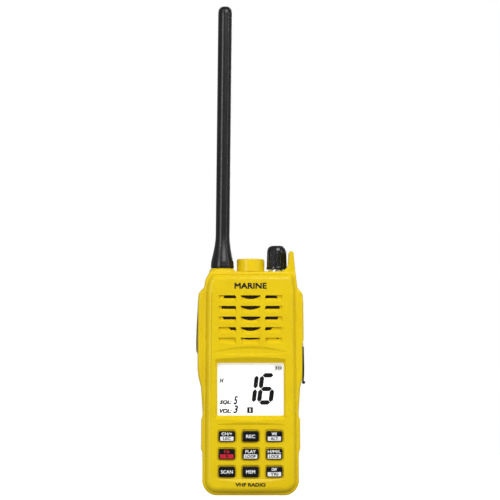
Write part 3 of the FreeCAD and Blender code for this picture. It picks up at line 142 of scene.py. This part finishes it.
def plastic(name, colour, shade, rough, grain_mm=0.35, grain_depth=0.012, specular=None):
    """A moulded plastic: slow waves of the surface under a fine grain."""
    look = Look(name)
    look.paint(colour, shade)
    look.polish(*rough)
    look.grain(9.0, 0.02, 1.0)
    look.grain(grain_mm, grain_depth)
    if specular is not None:
        look.set(Specular_IOR_Level=specular)
    return look


def metal(name, colour, shade, rough, stretch=(1, 1, 1)):
    """A bare or coated metal with fine tool marks, drawn out along stretch."""
    look = Look(name)
    look.paint(colour, shade, 3.0)
    look.polish(*rough, 1.5)
    look.bump(look.noise(0.25, 2.0, 0.5, stretch), "Fac", 0.006)
    return look.set(Metallic=1.0)


def make_looks():
    """A look for each material slot, and the knob's own glossy black."""
    yellow = plastic(
        "yellow_case", (0.80, 0.585, 0.004), (0.755, 0.53, 0.003), (0.24, 0.34), 0.3, 0.004,
        specular=0.22,
    )
    knob = plastic(
        "knob_gloss", (0.004, 0.004, 0.004), (0.007, 0.007, 0.007), (0.16, 0.24), 0.8, 0.003,
        specular=0.5,
    )
    matte = plastic(
        "black_moulding", (0.014, 0.014, 0.015), (0.020, 0.020, 0.021), (0.36, 0.48), 0.4, 0.012
    )
    rubber = plastic(
        "black_rubber", (0.004, 0.004, 0.005), (0.007, 0.007, 0.008), (0.26, 0.34), 1.2, 0.003,
        specular=0.4,
    )
    key = plastic(
        "key_gloss", (0.002, 0.002, 0.003), (0.004, 0.004, 0.005), (0.2, 0.3), 0.5, 0.001,
        specular=0.25,
    )
    silicone = plastic("silicone", (0.05, 0.05, 0.055), (0.07, 0.07, 0.075), (0.5, 0.65))
    dark = plastic("dark_plastic", (0.03, 0.03, 0.035), (0.045, 0.045, 0.05), (0.4, 0.55))
    board = plastic("board_green", (0.01, 0.10, 0.035), (0.015, 0.14, 0.05), (0.3, 0.4), 0.8, 0.02)
    steel = metal("steel", (0.60, 0.60, 0.61), (0.52, 0.52, 0.54), (0.22, 0.36), (1, 1, 12))
    coated = metal("coated_steel", (0.035, 0.035, 0.037), (0.025, 0.025, 0.027), (0.35, 0.5))
    brass = metal("brass", (0.68, 0.47, 0.20), (0.58, 0.40, 0.17), (0.24, 0.38))
    gold = metal("gold_contact", (0.90, 0.62, 0.22), (0.82, 0.55, 0.2), (0.18, 0.3))
    cast = metal("cast_alloy", (0.55, 0.55, 0.56), (0.46, 0.46, 0.47), (0.42, 0.58))
    magnet = metal("magnet", (0.14, 0.14, 0.15), (0.10, 0.10, 0.11), (0.4, 0.5))
    cloth = Look("speaker_cloth")
    cloth.paint((0.012, 0.008, 0.007), (0.028, 0.016, 0.012), 0.8)
    weave = cloth.node("TexVoronoi")
    weave.inputs["Scale"].default_value = 1 / (0.35 * MM)
    cloth.join(cloth.place, "Object", weave, "Vector")
    cloth.bump(weave, "Distance", 0.08)
    cloth.set(Roughness=0.9)
    # The display is painted as glowing: its patchy white goes to the emission as well as the base
    # colour, so it shines though no lamp lights it.
    screen = Look("display_painted_glow")
    tone_and_painted_glow = screen.paint((0.86, 0.88, 0.87), (0.90, 0.91, 0.90), 12.0)
    screen.tree.links.new(tone_and_painted_glow.outputs["Result"], screen.shader.inputs["Emission Color"])
    screen.set(Emission_Strength=0.6, Roughness=0.45)
    screen.grain(0.2, 0.002)
    window = Look("clear_window")
    window.polish(0.03, 0.07, 15.0)
    window.set(Alpha=0.05, IOR=1.49, Specular_IOR_Level=0.1)
    window.paint((0.02, 0.02, 0.02), (0.03, 0.03, 0.03), 10.0)
    by_slot = {
        "case_plastic": yellow,
        "black_plastic": matte,
        "black_rubber": rubber,
        "key_plastic": key,
        "silicone": silicone,
        "dark_plastic": dark,
        "board_laminate": board,
        "steel": steel,
        "black_steel": coated,
        "brass": brass,
        "gold_contact": gold,
        "die_cast": cast,
        "ferrite": magnet,
        "paper": cloth,
        "display_glass": screen,
        "window_plastic": window,
    }
    return by_slot, knob


LOOKS, KNOB_LOOK = make_looks()
SLOT_OF = {s["node"]: s["material_slot"] for s in frame["record"]["subparts"]}
for name, node in NODES.items():
    look = (KNOB_LOOK if name == "volume_knob" else LOOKS[SLOT_OF[name]]).material
    if not node.data.materials:
        node.data.materials.append(look)
    for index in range(len(node.data.materials)):
        node.data.materials[index] = look


def ink(name, colour, rough=0.45):
    """Printed ink, a little worn."""
    look = Look(name)
    worn = [c * 0.9 + 0.01 for c in colour]
    look.paint(colour, worn, 1.2)
    look.polish(rough - 0.05, rough + 0.1, 2.0)
    look.grain(0.15, 0.002)
    return look.set(Specular_IOR_Level=0.15).material


INKS = {
    "black": ink("ink_black", (0.008, 0.008, 0.009)),
    "white": ink("ink_white", (0.85, 0.86, 0.87)),
    "red": ink("ink_red", (0.60, 0.012, 0.035)),
    "liquid": ink("liquid_crystal", (0.001, 0.001, 0.001), 0.6),
}

# ---------------------------------------------------------------- printed pieces


def mesh_piece(name, vertices, faces, material, body):
    mesh = bpy.data.meshes.new(name)
    mesh.from_pydata(vertices, [], faces)
    mesh.materials.append(material)
    mesh.update()
    made = bpy.data.objects.new(name, mesh)
    bpy.context.scene.collection.objects.link(made)
    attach(made, body)


def film(name, outlines, depth, thick, material, body):
    """Flat outlines in x and z, printed on a surface: depth(x) gives the surface's y."""
    vertices, faces = [], []
    for outline in outlines:
        first, count = len(vertices), len(outline)
        for lift in (thick, 0):
            vertices += [(x, depth(x) - lift, z) for x, z in outline]
        faces.append(tuple(range(first, first + count)))
        faces.append(tuple(range(first + 2 * count - 1, first + count - 1, -1)))
        for i in range(count):
            j = (i + 1) % count
            faces.append((first + j, first + i, first + count + i, first + count + j))
    mesh_piece(name, vertices, faces, material, body)


def rounded(x, z, wide, tall, radius, steps=4):
    """A rounded rectangle's outline."""
    points = []
    for corner, (sx, sz) in enumerate(((1, 1), (-1, 1), (-1, -1), (1, -1))):
        cx, cz = x + sx * (wide / 2 - radius), z + sz * (tall / 2 - radius)
        for step in range(steps + 1):
            angle = math.radians(90 * (corner + step / steps))
            points.append((cx + radius * math.cos(angle), cz + radius * math.sin(angle)))
    return points


LETTER_LIFT = 0.05 * MM
LAYER_STEP = 0.004 * MM  # each shifted copy stands clear of the last, so that none coincide
BLOCK_THICK = 0.02 * MM
SEGMENT_THICK = 0.015 * MM
GLYPH_EXTRUDE = 0.01  # only tells a glyph's front from its back


def lettering(name, words, x, z, tall, wide, depth, material, body, slant=0.0, bold=0.0):
    """Generic words in the built-in typeface, fitted to a height and a width in metres.
    bold thickens every stroke by that much on each side, with shifted copies."""
    curve = bpy.data.curves.new(name, "FONT")
    curve.body = words
    curve.shear = slant
    curve.extrude = GLYPH_EXTRUDE
    curve.resolution_u = 3
    text = bpy.data.objects.new(name + "_source", curve)
    bpy.context.scene.collection.objects.link(text)
    bpy.context.view_layer.update()
    glyphs = bpy.data.meshes.new_from_object(
        text.evaluated_get(bpy.context.evaluated_depsgraph_get())
    )
    bpy.data.objects.remove(text)
    xs = [v.co.x for v in glyphs.vertices]
    ys = [v.co.y for v in glyphs.vertices]
    sx = (wide - 2 * bold) / (max(xs) - min(xs))
    sy = (tall - 2 * bold) / (max(ys) - min(ys))
    mid_x, mid_y = (max(xs) + min(xs)) / 2, (max(ys) + min(ys)) / 2
    shifts = [(0, 0)] + [(a * bold, b * bold) for a in (-1, 1) for b in (-1, 1) if bold]
    vertices, faces = [], []
    for layer, (dx, dz) in enumerate(shifts):
        first = len(vertices)
        for vertex in glyphs.vertices:
            px = x + dx + (vertex.co.x - mid_x) * sx
            pz = z + dz + (vertex.co.y - mid_y) * sy
            lift = LETTER_LIFT + layer * LAYER_STEP if vertex.co.z > 0 else 0.0
            vertices.append((px, depth(px) - lift, pz))
        faces += [[first + i for i in polygon.vertices] for polygon in glyphs.polygons]
    bpy.data.meshes.remove(glyphs)
    mesh_piece(name, vertices, faces, material, body)


FACE_RADIUS = 320 * MM
FACE_Y = -19 * MM


def face_depth(x):
    """The crowned front face of the case."""
    return FACE_Y + FACE_RADIUS - math.sqrt(FACE_RADIUS**2 - x * x)


def flat(y):
    """A surface of one depth."""
    return lambda x: y


lettering(
    "legend_top", "MARINE", 0, 119.3 * MM, 3.4 * MM, 18.4 * MM, face_depth,
    INKS["black"], "housing", bold=0.16 * MM,
)
lettering(
    "legend_base", "VHF RADIO", 0, 6.1 * MM, 2.1 * MM, 17.2 * MM, face_depth,
    INKS["black"], "housing", bold=0.13 * MM,
)

KEY_LEGENDS = {
    "key_channel": ("CH/+", "UIC"),
    "key_record": ("REC", None),
    "key_weather": ("WX", "ALT"),
    "key_sixteen": ("16", "9"),
    "key_playback": ("PLAY", "LOOP"),
    "key_power": ("H/M/L", "LOCK"),
    "key_scan": ("SCAN", None),
    "key_memory": ("MEM", None),
    "key_dual_watch": ("DW", "TRI"),
}
LETTER_WIDTH = 0.86  # of its height
LONE_TALL = 2.0 * MM
UPPER_TALL = 1.75 * MM
LOWER_TALL = 1.7 * MM
UPPER_RISE = 1.45 * MM
BLOCK_DROP = 1.3 * MM


def key_legends():
    """The words on the keys; a second word stands on a light block."""
    for node, (upper, lower) in KEY_LEGENDS.items():
        low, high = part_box(node)
        x, z = (low.x + high.x) / 2, (low.z + high.z) / 2
        surface = flat(low.y)
        body = node + "_body"
        bright = "red" if node == "key_sixteen" else "white"
        tall = LONE_TALL if lower is None else UPPER_TALL
        rise = 0 if lower is None else UPPER_RISE
        lettering(
            node + "_word", upper, x, z + rise, tall, tall * LETTER_WIDTH * len(upper), surface,
            INKS[bright], body, bold=0.07 * MM,
        )
        if lower is None:
            continue
        outline = rounded(x, z - BLOCK_DROP, 7.6 * MM, 2.4 * MM, 0.4 * MM)
        film(node + "_block", [outline], surface, BLOCK_THICK, INKS[bright], body)
        width = LOWER_TALL * LETTER_WIDTH * len(lower)
        lettering(
            node + "_second", lower, x, z - BLOCK_DROP, LOWER_TALL, width,
            flat(low.y - 0.01 * MM), INKS["black"], body, bold=0.06 * MM,
        )


key_legends()

# ---------------------------------------------------------------- display

SEGMENTS = {
    "a": ((0, 1), (1, 1)),
    "b": ((1, 1), (1, 0.5)),
    "c": ((1, 0.5), (1, 0)),
    "d": ((0, 0), (1, 0)),
    "e": ((0, 0.5), (0, 0)),
    "f": ((0, 1), (0, 0.5)),
    "g": ((0, 0.5), (1, 0.5)),
}
DIGITS = {"1": "bc", "3": "abcdg", "5": "acdfg", "6": "acdefg"}
LEAN = 0.12
NIB_GAP = 0.07  # of a stroke, between two segments


def digit(figure, x, z, wide, tall, stroke):
    """The lit segments of one leaning figure; x and z are its lower left corner."""
    outlines = []
    for name in DIGITS[figure]:
        (u0, v0), (u1, v1) = SEGMENTS[name]
        start = Vector((u0 * wide, v0 * tall))
        end = Vector((u1 * wide, v1 * tall))
        along = (end - start).normalized()
        side = Vector((-along.y, along.x)) * stroke / 2
        gap = along * stroke * NIB_GAP
        nib = along * stroke / 2
        points = [
            start + gap,
            start + nib + gap - side,
            end - nib - gap - side,
            end - gap,
            end - nib - gap + side,
            start + nib + gap + side,
        ]
        outlines.append([(x + p.x + LEAN * p.y, z + p.y) for p in points])
    return outlines


def display():
    """What the display shows, placed in mm from its middle."""
    low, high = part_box("lcd_module")
    surface = flat(low.y - 0.005 * MM)
    middle_z = (low.z + high.z) / 2
    dark = INKS["liquid"]

    def put(name, outlines):
        film(name, outlines, surface, SEGMENT_THICK, dark, "housing")

    def say(name, words, x, z, tall, wide):
        lettering(
            name, words, x * MM, middle_z + z * MM, tall * MM, wide * MM,
            surface, dark, "housing", slant=0.25, bold=0.14 * MM,
        )

    def figure(name, value, x, z, wide, tall, stroke):
        put(name, digit(value, x * MM, middle_z + z * MM, wide * MM, tall * MM, stroke * MM))

    figure("big_one", "1", -4.7, -7.55, 6.4, 15.5, 2.4)
    figure("big_six", "6", 4.8, -7.55, 6.6, 15.5, 2.5)
    say("squelch_value", "5", -8.5, -6.3, 4.7, 2.4)
    say("volume_value", "3", -8.5, -11.4, 4.4, 2.6)
    say("power_mark", "H", -16.5, 5.0, 2.5, 2.1)
    say("squelch_mark", "SQL:", -14.2, -7.5, 2.5, 6.7)
    say("volume_mark", "VOL:", -14.2, -12.35, 2.5, 6.8)
    badge = rounded(-0.3 * MM, middle_z - 11.9 * MM, 3.3 * MM, 3.3 * MM, 0.25 * MM)
    put("memory_badge", [badge])
    lettering(
        "memory_figure", "1", -0.3 * MM, middle_z - 11.9 * MM, 2.2 * MM, 0.9 * MM,
        surface, INKS["white"], "housing", bold=0.12 * MM,
    )
    battery = []
    icon_z = middle_z + 12.1 * MM
    for i in range(3):
        x = (14.7 + i * 1.05) * MM
        battery.append(rounded(x, icon_z, 0.7 * MM, 1.6 * MM, 0.1 * MM))
    for side in (-1, 1):
        x = 15.7 * MM
        battery.append(rounded(x, icon_z + side * 1.15 * MM, 3.8 * MM, 0.3 * MM, 0.1 * MM))
    battery.append(rounded(13.9 * MM, icon_z, 0.3 * MM, 2.3 * MM, 0.1 * MM))
    battery.append(rounded(17.7 * MM, icon_z, 0.5 * MM, 1.1 * MM, 0.1 * MM))
    put("battery_bars", battery)


display()

# ---------------------------------------------------------------- smooth shading of CAD surfaces

for name, node in NODES.items():
    for polygon in node.data.polygons:
        polygon.use_smooth = True
    mod = node.modifiers.new("crisp_edges", "EDGE_SPLIT")
    mod.split_angle = math.radians(30)

# ---------------------------------------------------------------- stage


def area_light(name, place, target, wide, tall, power):
    lamp = bpy.data.lights.new(name, "AREA")
    lamp.shape = "RECTANGLE"
    lamp.size, lamp.size_y = wide, tall
    lamp.energy = power
    holder = bpy.data.objects.new(name, lamp)
    bpy.context.scene.collection.objects.link(holder)
    holder.location = place
    holder.rotation_euler = (Vector(target) - Vector(place)).to_track_quat("-Z", "Y").to_euler()


def shell(name, radius):
    """A big faceted dome, seen only by the camera, that stands for a white studio."""
    rings, sectors = 16, 32
    vertices, faces = [], []
    for i in range(rings + 1):
        a = math.pi * i / rings
        for j in range(sectors):
            b = 2 * math.pi * j / sectors
            flat_radius = radius * math.sin(a)
            vertices.append(
                (flat_radius * math.cos(b), flat_radius * math.sin(b), radius * math.cos(a))
            )
    for i in range(rings):
        for j in range(sectors):
            k = (j + 1) % sectors
            here, below = i * sectors, (i + 1) * sectors
            faces.append((here + j, here + k, below + k, below + j))
    mesh = bpy.data.meshes.new(name)
    mesh.from_pydata(vertices, [], faces)
    mesh.update()
    made = bpy.data.objects.new(name, mesh)
    bpy.context.scene.collection.objects.link(made)
    return made


LIGHTS = (  # name, place, aimed at, width, height, watts
    ("key", (0.32, -0.9, 0.78), (0, 0, 0.12), 0.7, 0.6, 8.1),
    ("strip", (-0.75, -1.0, 0.3), (0, 0, 0.16), 0.1, 0.9, 6.0),
    ("strip_right", (1.0, -0.55, 0.3), (0, 0, 0.16), 0.06, 0.9, 2.0),
    ("rear", (0.6, 1.2, 0.6), (0, 0, 0.1), 0.8, 0.8, 8),
)
DOME_RADIUS = 6.0
FLOOR_HALF = 1.6
FLOOR_DROP = 0.2 * MM
VIEW_CENTRE = Vector((-0.34 * MM, -12 * MM, 140.0 * MM))
VIEW_WIDTH = 286 * MM
VIEW_DISTANCE = 2.0
VIEW_ELEVATION = math.radians(-2.6)
SENSOR_MM = 36


def studio():
    """A white dome that only the camera sees, a pale floor and soft lights."""
    world = bpy.data.worlds.new("studio")
    bpy.context.scene.world = world
    world.use_nodes = True
    background = world.node_tree.nodes["Background"]
    background.inputs["Color"].default_value = (1, 1, 1, 1)
    background.inputs["Strength"].default_value = 0.34
    dome = shell("studio_dome", DOME_RADIUS)
    glow = bpy.data.materials.new("studio_white")
    glow.use_nodes = True
    glow.node_tree.nodes.clear()
    light = glow.node_tree.nodes.new("ShaderNodeEmission")
    light.inputs["Strength"].default_value = 1.0
    out = glow.node_tree.nodes.new("ShaderNodeOutputMaterial")
    glow.node_tree.links.new(light.outputs["Emission"], out.inputs["Surface"])
    dome.data.materials.append(glow)
    dome.visible_diffuse = False
    dome.visible_glossy = False
    dome.visible_transmission = False
    dome.visible_shadow = False
    floor_mesh = bpy.data.meshes.new("floor")
    half = FLOOR_HALF
    floor_mesh.from_pydata(
        [(-half, -half, 0), (half, -half, 0), (half, half, 0), (-half, half, 0)], [], [(0, 1, 2, 3)]
    )
    floor = bpy.data.objects.new("floor", floor_mesh)
    bpy.context.scene.collection.objects.link(floor)
    floor.location.z = -FLOOR_DROP
    pale = Look("pale_floor")
    pale.paint((0.93, 0.93, 0.93), (0.95, 0.95, 0.95), 400.0)
    pale.polish(0.6, 0.7, 300.0)
    pale.set(Emission_Color=(1, 1, 1, 1), Emission_Strength=0.8)
    floor_mesh.materials.append(pale.material)
    floor.visible_diffuse = False
    floor.visible_glossy = False
    for light_row in LIGHTS:
        area_light(*light_row)


def camera():
    """The front view, from a little below the middle."""
    data = bpy.data.cameras.new("camera")
    data.sensor_width = SENSOR_MM
    data.lens = SENSOR_MM * VIEW_DISTANCE / VIEW_WIDTH
    holder = bpy.data.objects.new("camera", data)
    bpy.context.scene.collection.objects.link(holder)
    back = Vector((0, -math.cos(VIEW_ELEVATION), math.sin(VIEW_ELEVATION)))
    holder.location = VIEW_CENTRE + back * VIEW_DISTANCE
    holder.rotation_euler = (-back).to_track_quat("-Z", "Y").to_euler()
    bpy.context.scene.camera = holder


studio()
camera()
bpy.context.scene.view_settings.view_transform = "Standard"
